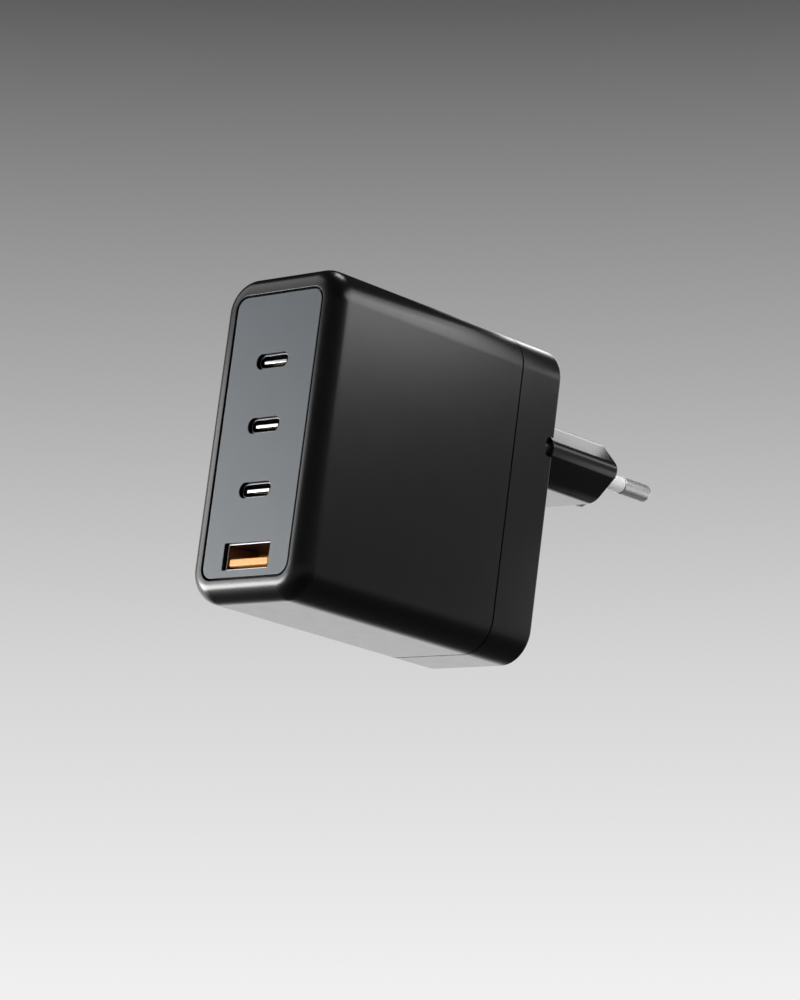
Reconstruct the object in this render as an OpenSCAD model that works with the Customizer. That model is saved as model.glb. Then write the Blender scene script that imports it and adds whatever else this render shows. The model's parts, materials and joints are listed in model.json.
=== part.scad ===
// Wall charger with three USB-C ports, one USB-A port and a flat two-pin plug.
// X is the width, +Y points from the port face to the plug, +Z is up.
// The origin is the centre of the face that the body stands on.

/* [Body] */
// Width of the body, side to side
body_w = 35; // [34:0.5:40]
// Depth of the body, port face to back face
body_d = 68.2; // [66:0.5:80]
// Height of the body
body_h = 70; // [69:0.5:84]
// Radius of the four long corners
corner_r = 7.5; // [6.5:0.1:9]
// Radius that rolls the sides over into the front face
front_r = 4.1; // [3:0.1:4.3]
// Wall of both shells
wall = 2; // [1.6:0.1:2.2]
// Depth of the rear cover, seam to back face
cover_d = 12.1; // [11:0.1:16]
// Radius of the rear cover's back edge
back_r = 0.6; // [0.3:0.1:1]
// Open line between the two shells
seam_gap = 0.2; // [0.1:0.05:0.4]
// Length of the tongue that laps the two shells
lap = 2; // [1:0.1:3]

/* [Face panel] */
// Border of the housing left beside the panel's opening
rim_w = 4.4; // [4.3:0.1:4.8]
// Line left open round the panel
panel_gap = 0.3; // [0.15:0.05:0.5]
// Thickness of the panel
panel_t = 1.6; // [1.2:0.1:1.8]
// How far the panel lies behind the front of the rim
panel_sink = 0.1; // [0:0.05:0.3]
// Width of the ledge that the panel rests on
ledge_w = 1.5; // [1:0.1:1.7]
// Thickness of that ledge
ledge_t = 1.3; // [1:0.1:1.6]

/* [Ports] */
// Distance from one USB-C port to the next
port_pitch = 13.75; // [12:0.05:14]
// Height of the top USB-C port above the body's bottom
top_port = 50.7; // [50:0.1:54]
// Drop from the lowest USB-C port to the USB-A port
usb_a_drop = 13.9; // [12:0.1:14]
// Width of a USB-C cut-out
usb_c_cut_w = 9.45; // [9.3:0.05:10]
// Height of a USB-C cut-out
usb_c_cut_h = 3.4; // [3.3:0.05:3.8]
// Width of the USB-A cut-out
usb_a_cut_w = 13.8; // [13.4:0.05:14.4]
// Height of the USB-A cut-out
usb_a_cut_h = 5.8; // [5.75:0.05:6.4]
// How far the metal port shells start behind the panel's front
shell_sink = 0.8; // [0.4:0.1:1.4]
// Sheet metal of the port shells
sheet = 0.3; // [0.2:0.05:0.4]
// Length of the port shells, mouth to board
shell_len = 10.2; // [9:0.1:12]

/* [Plug] */
// Width of the plug's neck across its side corners
neck_w = 35.3; // [34:0.1:36]
// Thickness of the neck, flat to flat
neck_t = 13.8; // [13:0.1:14.4]
// Length of the neck behind the body
neck_len = 21; // [18:0.1:24]
// Height of the plug above the body's middle
plug_rise = 12.7; // [8:0.1:16]
// Angle between a side facet and the neck's middle plane
facet_angle = 45; // [42:1:48]
// Radius of the neck's two side corners
side_r = 2.05; // [1:0.05:3]
// Radius of the neck's shoulders
shoulder_r = 4.5; // [3:0.1:6]
// Bevel round the neck's end
neck_bevel = 0.5; // [0.3:0.1:1]
// Depth of the recess that the neck stands in
pocket_d = 2.6; // [2:0.1:3]
// Open line round the neck in that recess
pocket_gap = 0.6; // [0.4:0.1:0.8]
// Distance between the two pins
pin_spacing = 18.6; // [17.5:0.1:19.2]
// Diameter of a pin's bare end
pin_d = 4; // [3.9:0.02:4.06]
// Length of a pin beyond the neck
pin_len = 19; // [18:0.1:21]
// Length of the insulating sleeve beyond the neck
sleeve_len = 10; // [9:0.1:11]
// Diameter of the sleeve
sleeve_d = 3.6; // [3.4:0.05:3.8]
// Radius of a pin's tip
tip_r = 1.3; // [0.8:0.1:1.8]

/* [Inside] */
// Thickness of the main board
board_t = 1.6; // [1.2:0.1:1.6]
// Thickness of the port board
port_board_t = 1.2; // [0.8:0.1:1.6]
// Room behind the main board for its solder joints
solder_room = 2.3; // [1.6:0.1:2.6]
// Diameter of the three tall bulk capacitors
bulk_d = 9; // [8:0.5:10]
// Height of the three tall bulk capacitors
bulk_h = 20; // [16:0.5:25]
// Diameter of the three output capacitors
output_d = 7; // [6:0.5:8]
// Height of the three output capacitors
output_h = 14; // [10:0.5:18]
// Height of the transformer's core
core_h = 20; // [18:0.5:23.5]
// Thickness of the heat spreader
spreader_t = 0.8; // [0.5:0.1:0.8]

/* [Hidden] */
$fn = 96;
// Room round a sliding fit, room round a pressed one, and the overlap that joins two shapes
fit = 0.1;
press = 0.02;
eps = 0.01;

front_y = -body_d / 2;
back_y = body_d / 2;
mid_z = body_h / 2;
seam_y = back_y - cover_d;
in_r = corner_r - wall;
in_x = body_w / 2 - wall;
floor_z = wall;
roof_z = body_h - wall;
tongue_t = wall * 0.45;

// The panel, its opening and its ledge, as distances from the corner axes
open_u = corner_r - rim_w;
ledge_u = open_u - ledge_w;
recess = panel_t + panel_sink;
ledge_back = recess + ledge_t;
open_w = body_w - 2 * rim_w;
open_h = body_h - 2 * rim_w;
rim_bevel = 0.15;
panel_rib = 1;
panel_rib_r = 0.3;
usb_a_cut_r = 0.35;

// USB shells, as large as the plugs that go into them need
usb_c_w = 8.94;
usb_c_h = 3.16;
usb_a_w = 13.1;
usb_a_h = 5.7;
usb_a_r = 0.5;
usb_c_z = [for (i = [0 : 2]) top_port - i * port_pitch];
usb_a_z = usb_c_z[2] - usb_a_drop;
mouth_y = front_y + panel_sink + shell_sink;
port_front = mouth_y + shell_len;
port_back = port_front + port_board_t;

// USB-C insert: a base that fills the shell, a stepped root and the tongue
usb_c_base = 3.6;
usb_c_root = 1.2;
usb_c_root_w = 7.2;
usb_c_root_t = 1.4;
usb_c_tongue_w = 6.7;
usb_c_tongue_t = 0.7;
usb_c_tongue_r = 0.15;
usb_c_tongue_in = 0.9;

// USB-A insert: a base, the tongue with its bevelled nose, and four sprung contacts in slots
usb_a_base = 2;
usb_a_base_r = 0.2;
usb_a_tongue_w = 11.1;
usb_a_tongue_t = 1.84;
usb_a_nose = 0.4;
usb_a_under = 0.75;
usb_a_tongue_in = 1.1;
tongue_y = mouth_y + usb_a_tongue_in;
tongue_z0 = usb_a_z - usb_a_h / 2 + sheet + usb_a_under;
tongue_z1 = tongue_z0 + usb_a_tongue_t;
blade_pitch = 2.5;
blade_w = 1;
blade_t = 0.2;
blade_in = 2.3;
blade_y = mouth_y + blade_in;
slot_t = 0.4;
bow_in = 4.4;
bow_y = mouth_y + bow_in;
bow_r = 3;
bow_rise = 0.4;
bow_half = 1.8;

// The plug
plug_z = mid_z + plug_rise;
pocket_y = back_y - pocket_d;
back_t = 2.2;
seat_t = 2;
seat_rim = 1.4;
neck_end = back_y + neck_len;
neck_join = 0.2;
pin_tip = neck_end + pin_len;
sleeve_end = neck_end + sleeve_len;
sleeve_in = 3;
root_r = 1.5;
pin_stub = 5;
pin_in = pocket_y - seat_t - pin_stub;
tail_w = 26;
tail_h = 8.4;
tail_r = 1.4;
tail_past = 1.2;
tail_in = pocket_y - seat_t - tail_past;
catch_x = 5;
catch_w = 4;
catch_h = 0.8;
base_inset = 1;
pin_x = [pin_spacing / 2, -pin_spacing / 2];
collar_depth = 6;
collar_y = back_y + collar_depth;
collar_r = 2.6;
collar_t = 1.6;

// Stops for the port board and rails for the main board
stop_x = 7;
stop_w = 1.6;
stop_h = 2.6;
port_board_gap = 0.3;
rail_t = 1.2;
rail_lip = 0.8;
rail_short = 2;
rail_end = 1;
rail_y0 = port_back + rail_short;
rail_y1 = seam_y - rail_end;

// The main board. Its long edges clear the round corners inside the shell by edge_gap.
clear = 0.8;
edge_gap = 0.7;
board_back = -in_x + solder_room;
board_face = board_back + board_t;
board_y0 = port_back + clear;
board_y1 = tail_in - clear;
board_edge = in_r - sqrt(pow(in_r, 2) - pow(in_r - solder_room, 2)) + edge_gap;
board_z0 = floor_z + board_edge;
board_z1 = roof_z - board_edge;
lead_r = 0.3;
lead_out = 1;
lead_pitch = 5;
hole_r = lead_r + fit;
header_w = 2;
header_len = 20;
header_rise = 10;
header_z = floor_z + header_rise;
port_chip_w = 5;
port_chip_t = 0.9;
port_chip_rise = 9;

// Ends of the rows of parts on the main board
row_y0 = port_back + header_w + clear;
row_end = 1;
row_side = rail_lip + 0.3;
row_y1 = board_y1 - row_end;
row_z0 = board_z0 + row_side;
row_z1 = board_z1 - row_side;

// Crimped groove and rounded rim of the capacitor cans
groove = 0.35;
groove_x = 1.4;
groove_w = 0.8;
can_rim = 0.6;

// Output side
output_pitch = 3.5;
output_y = row_y0 + output_d / 2;
output_z = [for (i = [0 : 2]) row_z0 + output_d / 2 + i * (output_d + clear)];
inductor_w = 6.5;
inductor_t = 4.2;
inductor_y = row_y0 + inductor_w / 2;
inductor_z = [for (i = [0 : 2]) row_z1 - inductor_w / 2 - i * (inductor_w + clear)];
rectifier_w = 6;
rectifier_h = 4;
rectifier_t = 1;
rectifier_z = output_z[2] + output_d / 2 + clear + rectifier_h / 2;

// Sheet between the output side and the mains side, and the parts beside it
sheet_y = row_y0 + output_d + clear;
sheet_thin = 0.4;
sheet_h = 20;
board_slot = 0.3;
opto_w = 4.6;
opto_h = 6.5;
opto_t = 2.4;
opto_lead = 1.7;
opto_rise = 3;
opto_y = sheet_y + opto_lead;
opto_z = row_z0 + opto_rise;
chip_w = 6.4;
chip_y = sheet_y + sheet_thin + clear + chip_w / 2;
safety_r = 3.2;
safety_t = 3;
safety_z = opto_z + opto_h + clear + safety_t / 2;
switch_h = 6;
switch_t = 1;
switch_z = safety_z + safety_t / 2 + clear + switch_h / 2;
bridge_h = 6.5;
bridge_t = 2.5;
bridge_z = switch_z + switch_h / 2 + clear + bridge_h / 2;

// Mains side
disc_lift = 0.8;
film_w = 12;
film_t = 6;
film_h = 12;
film_pitch = 10;
film_y = row_y1 - film_w / 2;
film_z = row_z0 + film_t / 2;
choke_r = 7;
choke_band = 3.4;
choke_half = 3;
choke_wire = 1.2;
choke_span = 130;
choke_base_y = 10;
choke_base_z = 15;
choke_base_h = 3.2;
cradle_gap = 0.2;
choke_lift = 1;
choke_x = board_face + choke_lift + choke_r + choke_wire + cradle_gap;
choke_y = row_y1 - choke_base_y / 2;
choke_z = film_z + film_t / 2 + clear + choke_r + choke_wire;
choke_pitch = 12;
varistor_r = 4.5;
varistor_t = 4;
varistor_y = row_y1 - varistor_r;
varistor_z = choke_z + choke_r + choke_wire + clear + varistor_t / 2;
fuse_w = 8;
fuse_t = 4;
fuse_h = 8;
fuse_y = row_y1 - fuse_w / 2;
fuse_z = row_z1 - fuse_t / 2;
bulk_y = (chip_y + chip_w / 2 + film_y - film_w / 2) / 2;
bulk_z = [for (i = [0 : 2]) row_z0 + bulk_d / 2 + i * (bulk_d + clear)];
contact_t = 0.4;
contact_w = 3;
contact_foot = 3.6;
contact_rise = 5.2;
contact_y = pin_in - contact_t;

// Transformer, midway between the inductors and the fuse
core_w = 24;
core_d = 17;
core_lift = 1.5;
core_y = (inductor_y + inductor_w / 2 + fuse_y - fuse_w / 2) / 2;
core_z = row_z1 - core_w / 2;
core_x = board_face + core_lift;
core_top = core_x + core_h;
post_r = 4.4;
window_r = 9.4;
plate_t = 3;
core_side = 11;
core_bite = 3;
bobbin_gap = 0.15;
bobbin_wall = 0.7;
flange_t = 0.8;
foot_out = 1.6;
foot_half = 1.2;
foot_len = 16;
foot_neck = 8;
foot_in = 2.2;
foot_pitch = 4;
wire_in = 1.2;

// Heat spreader on a soft pad on the transformer
pad_t = 1;
pad_in = 1.5;
spreader_x = core_top + pad_t;
spreader_out = 3;
spreader_short = 2;

// Where wires pass through the main board, as [y, z]
function pair(y, z, s) = [[y - s / 2, z], [y + s / 2, z]];
bulk_leads = [for (z = bulk_z) pair(bulk_y, z, lead_pitch)];
output_leads = [for (z = output_z) pair(output_y, z, output_pitch)];
film_leads = pair(film_y, film_z, film_pitch);
varistor_leads = pair(varistor_y, varistor_z, lead_pitch);
fuse_leads = pair(fuse_y, fuse_z, lead_pitch);
safety_leads = pair(chip_y, safety_z, lead_pitch);
foot_y = [for (s = [-1, 1]) core_y + s * (core_d / 2 + foot_out)];
bobbin_leads = [for (y = foot_y, k = [-1.5 : 1 : 1.5]) [y, core_z + k * foot_pitch]];
choke_leads = [for (s = [-1, 1]) each pair(choke_y, choke_z + s * choke_pitch / 2, lead_pitch)];
board_holes = concat([for (l = bulk_leads) each l], [for (l = output_leads) each l], film_leads,
    varistor_leads, fuse_leads, safety_leads, bobbin_leads, choke_leads);

// Quarter of a disc, in the corner that the signs give
module pie(r, sx, sy) {
    intersection() {
        circle(r);
        translate([sx < 0 ? -r : 0, sy < 0 ? -r : 0]) square(r);
    }
}

// Rectangle given by its two ends on each axis
module box2(x0, x1, y0, y1) {
    translate([x0, y0]) square([x1 - x0, y1 - y0]);
}

// Block given by its two ends on each axis
module block(x0, x1, y0, y1, z0, z1) {
    translate([x0, y0, z0]) cube([x1 - x0, y1 - y0, z1 - z0]);
}

// Outline of a rectangle with round corners, about the middle
module round_rect(w, h, r) {
    square([w - 2 * r, h], center = true);
    square([w, h - 2 * r], center = true);
    for (sx = [-1, 1], sy = [-1, 1])
        translate([sx * (w / 2 - r), sy * (h / 2 - r)]) circle(r);
}

// Outline drawn in X and Z, drawn out along Y from y0 to y1
module along_y(y0, y1, z) {
    translate([0, y1, z]) rotate([90, 0, 0]) linear_extrude(y1 - y0) children();
}

// Shape turned about the Y axis: the profile's height runs along +Y from y
module turn_y(x, y, z) {
    translate([x, y, z]) rotate([-90, 0, 0]) rotate_extrude() children();
}

// Cylinder along X that starts at x
module rod_x(r, x, y, z, len) {
    translate([x, y, z]) rotate([0, 90, 0]) cylinder(r = r, h = len);
}

// A profile carried round the body's outline. Its first axis is the distance from
// the corner axes and its second is the depth behind the front face.
module round_the_body() {
    run_x = body_w - 2 * corner_r;
    run_z = body_h - 2 * corner_r;
    translate([0, front_y, mid_z]) rotate([-90, 0, 0]) {
        for (s = [0, 1]) rotate([0, 0, 180 * s]) {
            translate([run_x / 2, run_z / 2, 0]) rotate([90, 0, 0]) linear_extrude(run_z) children();
            rotate([0, 0, 90]) translate([run_z / 2, run_x / 2, 0]) rotate([90, 0, 0])
                linear_extrude(run_x) children();
            translate([run_x / 2, run_z / 2, 0]) rotate_extrude(angle = 90) children();
            translate([-run_x / 2, run_z / 2, 0]) rotate([0, 0, 90])
                rotate_extrude(angle = 90) children();
        }
    }
}

// Front shell
module housing_profile() {
    end = body_d - cover_d - seam_gap / 2;
    box2(in_r, corner_r, front_r, end);
    translate([corner_r - front_r, front_r]) pie(front_r, 1, -1);
    polygon([[open_u, rim_bevel], [open_u + rim_bevel, 0], [corner_r - front_r, 0],
        [corner_r - front_r, ledge_back], [open_u, ledge_back]]);
    box2(ledge_u, open_u, recess, ledge_back);
    box2(in_r, in_r + tongue_t, end, body_d - cover_d + lap);
}

module housing() {
    stop_y = front_y + recess + eps;
    color("#1d1d1f") {
        round_the_body() housing_profile();
        // Stops for the port board, above and below the ports
        for (s = [-1, 1]) {
            x = s * stop_x - stop_w / 2;
            block(x, x + stop_w, stop_y, port_front, roof_z - stop_h, roof_z + eps);
            block(x, x + stop_w, stop_y, port_front, floor_z - eps, floor_z + stop_h);
        }
        // Rails that hold the main board's long edges
        for (x = [board_back - fit - rail_t, board_face + fit]) {
            block(x, x + rail_t, rail_y0, rail_y1, board_z1 - rail_lip, roof_z + fit);
            block(x, x + rail_t, rail_y0, rail_y1, floor_z - fit, board_z0 + rail_lip);
        }
    }
}

// Outline of the neck, grown by g all round: a flat hexagon with round corners
function unit(v) = v / norm(v);
function neck_points(g) = let (
        b = neck_w / 2 + side_r * (1 / sin(facet_angle) - 1),
        t = neck_t / 2,
        nx = sin(facet_angle),
        nz = cos(facet_angle),
        top = t + g,
        shoulder = (nx * b + g - nz * top) / nx,
        side = b + g / nx)
    [[side, 0], [shoulder, top], [-shoulder, top], [-side, 0], [-shoulder, -top], [shoulder, -top]];

module neck_outline(g) {
    p = neck_points(g);
    n = len(p);
    r = [for (i = [0 : n - 1]) (i % 3 == 0 ? side_r : shoulder_r) + g];
    a = [for (i = [0 : n - 1]) unit(p[(i + n - 1) % n] - p[i])];
    b = [for (i = [0 : n - 1]) unit(p[(i + 1) % n] - p[i])];
    half = [for (i = [0 : n - 1]) acos(a[i] * b[i]) / 2];
    cut = [for (i = [0 : n - 1]) r[i] / tan(half[i])];
    polygon([for (i = [0 : n - 1]) each [p[i] + a[i] * cut[i], p[i] + b[i] * cut[i]]]);
    for (i = [0 : n - 1])
        translate(p[i] + unit(a[i] + b[i]) * r[i] / sin(half[i])) circle(r[i]);
}

// Rear shell
module cover_profile() {
    start = body_d - cover_d + seam_gap / 2;
    step = body_d - cover_d + lap + fit;
    box2(in_r + tongue_t + fit, corner_r, start, step);
    box2(in_r, corner_r, step, body_d - back_t);
    box2(0, corner_r, body_d - back_t, body_d - back_r);
    box2(0, corner_r - back_r, body_d - back_r, body_d);
    translate([corner_r - back_r, body_d - back_r]) pie(back_r, 1, 1);
}

module rear_cover() {
    run_x = body_w - 2 * corner_r;
    run_z = body_h - 2 * corner_r;
    color("#1b1b1d") difference() {
        union() {
            round_the_body() cover_profile();
            block(-run_x / 2, run_x / 2, back_y - back_t, back_y, mid_z - run_z / 2, mid_z + run_z / 2);
            // Seat of the plug's neck, inside the back wall
            intersection() {
                along_y(pocket_y - seat_t, back_y - back_t, plug_z) neck_outline(pocket_gap + seat_rim);
                block(-in_x - wall / 4, in_x + wall / 4, seam_y, back_y, floor_z, roof_z);
            }
        }
        along_y(pocket_y, back_y + 1, plug_z) neck_outline(pocket_gap);
        along_y(pocket_y - seat_t - 1, pocket_y + 1, plug_z)
            round_rect(tail_w + 2 * fit, tail_h + 2 * fit, tail_r + fit);
    }
}

// Grey face with the four cut-outs
module stadium(w, h) {
    square([w - h, h], center = true);
    for (s = [-1, 1]) translate([s * (w - h) / 2, 0]) circle(h / 2);
}

module face_panel() {
    w = open_w - 2 * panel_gap;
    h = open_h - 2 * panel_gap;
    r = open_u - panel_gap;
    frame_w = open_w - 2 * ledge_w - 2 * fit;
    frame_h = open_h - 2 * ledge_w - 2 * fit;
    frame_r = ledge_u - fit;
    y0 = front_y + panel_sink;
    color("#6f7479") difference() {
        union() {
            along_y(y0, y0 + panel_t, mid_z) round_rect(w, h, r);
            along_y(y0 + panel_t, y0 + panel_t + ledge_t, mid_z) difference() {
                round_rect(frame_w, frame_h, frame_r);
                round_rect(frame_w - 2 * panel_rib, frame_h - 2 * panel_rib,
                    max(frame_r - panel_rib, panel_rib_r));
            }
        }
        for (z = usb_c_z) along_y(y0 - 1, y0 + panel_t + 1, z) stadium(usb_c_cut_w, usb_c_cut_h);
        along_y(y0 - 1, y0 + panel_t + ledge_t + 1, usb_a_z)
            round_rect(usb_a_cut_w, usb_a_cut_h, usb_a_cut_r);
    }
}

// Plug
module plug_neck() {
    color("#1a1a1c") difference() {
        union() {
            along_y(back_y, neck_end - neck_bevel, plug_z) neck_outline(0);
            hull() {
                along_y(neck_end - neck_bevel - neck_join, neck_end - neck_bevel, plug_z)
                    neck_outline(-press, $fn = 48);
                along_y(neck_end - eps, neck_end, plug_z) neck_outline(-neck_bevel, $fn = 48);
            }
            along_y(pocket_y, back_y, plug_z) neck_outline(-base_inset);
            along_y(tail_in, pocket_y, plug_z) round_rect(tail_w, tail_h, tail_r);
            // Catches that hold the neck behind its seat
            for (s = [-1, 1])
                block(s * catch_x - catch_w / 2, s * catch_x + catch_w / 2,
                    tail_in, pocket_y - seat_t - fit,
                    plug_z - tail_h / 2 - catch_h, plug_z + tail_h / 2 + catch_h);
        }
        for (x = pin_x) {
            turn_y(x, tail_in - 1, plug_z) box2(0, root_r + press, 0, neck_end - tail_in + 2);
            turn_y(x, collar_y - press, plug_z) box2(0, collar_r + press, 0, collar_t + 2 * press);
            turn_y(x, neck_end - sleeve_in, plug_z) box2(0, sleeve_d / 2 + press, 0, sleeve_in + 1);
        }
    }
}

module pin(x) {
    color("#c9c7c2") {
        turn_y(x, 0, plug_z) {
            box2(0, root_r, pin_in, sleeve_end);
            box2(0, collar_r, collar_y, collar_y + collar_t);
            box2(0, pin_d / 2, sleeve_end, pin_tip - tip_r);
            box2(0, pin_d / 2 - tip_r, pin_tip - tip_r, pin_tip);
            translate([pin_d / 2 - tip_r, pin_tip - tip_r]) pie(tip_r, 1, 1);
        }
    }
}

module sleeve(x) {
    color("#dcdcda") turn_y(x, 0, plug_z)
        box2(root_r + press, sleeve_d / 2, neck_end - sleeve_in, sleeve_end);
}

// Spring strip from a pin's inner end to the main board. It rises by up from the pin.
module contact(x, up) {
    z0 = plug_z - contact_w / 2;
    z1 = plug_z + contact_w / 2;
    run = plug_z + up;
    color("#c8a15a") {
        block(x - contact_w / 2, x + contact_w / 2, contact_y, pin_in,
            min(z0, run - contact_w / 2), max(z1, run + contact_w / 2));
        block(board_face, x, contact_y, pin_in, run - contact_w / 2, run + contact_w / 2);
        block(board_face, board_face + contact_t, contact_y - contact_foot, pin_in,
            run - contact_w / 2, run + contact_w / 2);
    }
}

// USB-C receptacle: a drawn metal shell and a plastic insert with its tongue
module usb_c_shell(i) {
    color("#c4c4c6") along_y(mouth_y, port_front, usb_c_z[i]) difference() {
        stadium(usb_c_w, usb_c_h);
        stadium(usb_c_w - 2 * sheet, usb_c_h - 2 * sheet);
    }
}

module usb_c_tongue(i) {
    base_y = port_front - usb_c_base;
    root_y = base_y - usb_c_root;
    slack = 2 * sheet + press;
    color("#17171a") {
        along_y(base_y, port_front, usb_c_z[i]) stadium(usb_c_w - slack, usb_c_h - slack);
        along_y(root_y, base_y, usb_c_z[i]) round_rect(usb_c_root_w, usb_c_root_t, usb_c_tongue_r);
        along_y(mouth_y + usb_c_tongue_in, root_y, usb_c_z[i])
            round_rect(usb_c_tongue_w, usb_c_tongue_t, usb_c_tongue_r);
    }
}

// USB-A receptacle
module usb_a_shell() {
    color("#c4c4c6") along_y(mouth_y, port_front, usb_a_z) difference() {
        round_rect(usb_a_w, usb_a_h, usb_a_r);
        round_rect(usb_a_w - 2 * sheet, usb_a_h - 2 * sheet, usb_a_r - sheet);
    }
}

module usb_a_tongue() {
    slack = 2 * (sheet + press);
    base_y = port_front - usb_a_base;
    slot_half = blade_w / 2 + fit;
    color("#e07b1c") difference() {
        union() {
            along_y(base_y, port_front, usb_a_z)
                round_rect(usb_a_w - slack, usb_a_h - slack, usb_a_base_r);
            // Tongue with a bevelled nose
            translate([usb_a_tongue_w / 2, 0, 0]) rotate([0, -90, 0]) linear_extrude(usb_a_tongue_w)
                polygon([[tongue_z0, base_y], [tongue_z0, tongue_y + usb_a_nose],
                    [tongue_z0 + usb_a_nose, tongue_y], [tongue_z1 - usb_a_nose, tongue_y],
                    [tongue_z1, tongue_y + usb_a_nose], [tongue_z1, base_y]]);
        }
        // Slots that the spring contacts lie in
        for (k = [-1.5 : 1 : 1.5])
            block(k * blade_pitch - slot_half, k * blade_pitch + slot_half, blade_y - fit, port_front + 1,
                tongue_z1 - slot_t, tongue_z1 + 1);
    }
}

module usb_a_contact(i) {
    x = (i - 1.5) * blade_pitch;
    z = tongue_z1 - slot_t + fit;
    color("#d8b25a") {
        block(x - blade_w / 2, x + blade_w / 2, blade_y, port_front, z, z + blade_t);
        // Raised bow that presses on the plug
        intersection() {
            block(x - blade_w / 2, x + blade_w / 2, bow_y - bow_half, bow_y + bow_half,
                z + blade_t / 2, tongue_z1 + 1);
            translate([x, bow_y, tongue_z1 + bow_rise - bow_r]) rotate([0, 90, 0]) difference() {
                cylinder(r = bow_r, h = blade_w, center = true);
                cylinder(r = bow_r - blade_t, h = 2 * blade_w, center = true);
            }
        }
    }
}

// Boards
module port_board() {
    gap = 2 * port_board_gap;
    color("#1f5a3a") along_y(port_front, port_back, mid_z)
        round_rect(2 * in_x - gap, roof_z - floor_z - gap, in_r - port_board_gap);
}

module port_chip(i) {
    z = mid_z + (i == 0 ? port_chip_rise : -port_chip_rise);
    color("#202022") translate([0, port_back, z]) translate([-port_chip_w / 2, 0, -port_chip_w / 2])
        cube([port_chip_w, port_chip_t, port_chip_w]);
}

module main_board() {
    notch = contact_rise + contact_w / 2 + fit;
    color("#1f5a3a") difference() {
        block(board_back, board_face, board_y0, board_y1, board_z0, board_z1);
        for (p = board_holes) rod_x(hole_r, board_back - 1, p[0], p[1], board_t + 2, $fn = 24);
        // Slot that keeps the mains side apart from the output side
        block(board_back - 1, board_face + 1, sheet_y - board_slot, sheet_y + sheet_thin + board_slot,
            opto_z + opto_h, core_z - core_w / 2 - clear);
        // Notch at the end, where the pins and their springs stand
        block(board_back - 1, board_face + 1, contact_y - fit, board_y1 + 1,
            plug_z - notch, plug_z + notch);
    }
}

module leads(points) {
    for (p = points)
        rod_x(lead_r, board_back - lead_out, p[0], p[1], board_t + lead_out + 2 * lead_r, $fn = 24);
}

// Package soldered flat on the board's face
module package(y, z, w, h, t) {
    block(board_face, board_face + t, y - w / 2, y + w / 2, z - h / 2, z + h / 2);
}

module board_header() {
    color("#19191b") block(board_face, board_face + header_w, port_back, port_back + header_w,
        header_z, header_z + header_len);
}

// Transformer
module core_half(x0, depth) {
    translate([x0, core_y, core_z]) rotate([0, 90, 0]) {
        difference() {
            translate([-core_w / 2, -core_d / 2, 0]) cube([core_w, core_d, depth]);
            translate([0, 0, plate_t]) cylinder(r = window_r, h = depth);
            // Open sides where the wires leave
            for (s = [-1, 1]) translate([-core_side / 2, s * core_d / 2 - core_bite, plate_t])
                cube([core_side, 2 * core_bite, depth]);
        }
        cylinder(r = post_r, h = depth);
    }
}

module transformer_core_lower() {
    color("#3a3a3d") core_half(core_x, core_h / 2);
}

module transformer_core_upper() {
    color("#3a3a3d") translate([2 * core_x + core_h, 0, 0]) mirror([1, 0, 0])
        core_half(core_x, core_h / 2);
}

module transformer_bobbin() {
    x0 = core_x + plate_t + bobbin_gap;
    x1 = core_top - plate_t - bobbin_gap;
    r0 = post_r + bobbin_gap;
    r1 = window_r - bobbin_gap;
    color("#2a2a2c") {
        translate([x0, core_y, core_z]) rotate([0, 90, 0]) rotate_extrude() {
            box2(r0, r0 + bobbin_wall, 0, x1 - x0);
            box2(r0, r1, 0, flange_t);
            box2(r0, r1, x1 - x0 - flange_t, x1 - x0);
        }
        // Feet that carry the pins, one at each open side of the core
        for (s = [-1, 1]) {
            y = core_y + s * (core_d / 2 + foot_out);
            near_y = core_y + s * (window_r - foot_in);
            block(x0, x0 + flange_t, min(y, near_y), max(y, near_y),
                core_z - foot_neck / 2, core_z + foot_neck / 2);
            block(board_face, x0 + flange_t, y - foot_half, y + foot_half,
                core_z - foot_len / 2, core_z + foot_len / 2);
        }
        leads(bobbin_leads);
    }
}

module transformer_winding() {
    x0 = core_x + plate_t + bobbin_gap + flange_t + fit;
    x1 = core_top - plate_t - bobbin_gap - flange_t - fit;
    color("#b9772c") translate([x0, core_y, core_z]) rotate([0, 90, 0]) rotate_extrude()
        box2(post_r + bobbin_gap + bobbin_wall + fit, window_r - wire_in, 0, x1 - x0);
}

// Capacitor can standing on the board, with its crimped groove and rounded rim
module can(r, h, y, z) {
    translate([board_face, y, z]) rotate([0, 90, 0]) rotate_extrude() {
        box2(0, r, 0, groove_x);
        box2(0, r - groove, groove_x, groove_x + groove_w);
        box2(0, r, groove_x + groove_w, h - can_rim);
        box2(0, r - can_rim, h - can_rim, h);
        translate([r - can_rim, h - can_rim]) pie(can_rim, 1, 1);
    }
}

module bulk_capacitor(i) {
    color("#22305a") {
        can(bulk_d / 2, bulk_h, bulk_y, bulk_z[i]);
        leads(bulk_leads[i]);
    }
}

module output_capacitor(i) {
    color("#b8bcc2") {
        can(output_d / 2, output_h, output_y, output_z[i]);
        leads(output_leads[i]);
    }
}

// Mains choke: a ring core in a cradle with one winding on each half
module on_choke_axis() {
    translate([choke_x, choke_y, choke_z]) rotate([-90, 0, 0]) children();
}

module choke_base() {
    color("#2a2a2c") difference() {
        package(choke_y, choke_z, choke_base_y, choke_base_z, choke_base_h);
        on_choke_axis()
            cylinder(r = choke_r + choke_wire + cradle_gap, h = choke_base_y + 2, center = true);
        for (p = choke_leads) rod_x(hole_r, board_face - 1, p[0], p[1], choke_base_h + 2, $fn = 24);
    }
}

module choke_core() {
    color("#4a5a4c") on_choke_axis() rotate_extrude()
        box2(choke_r - choke_band, choke_r, -choke_half, choke_half);
}

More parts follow.
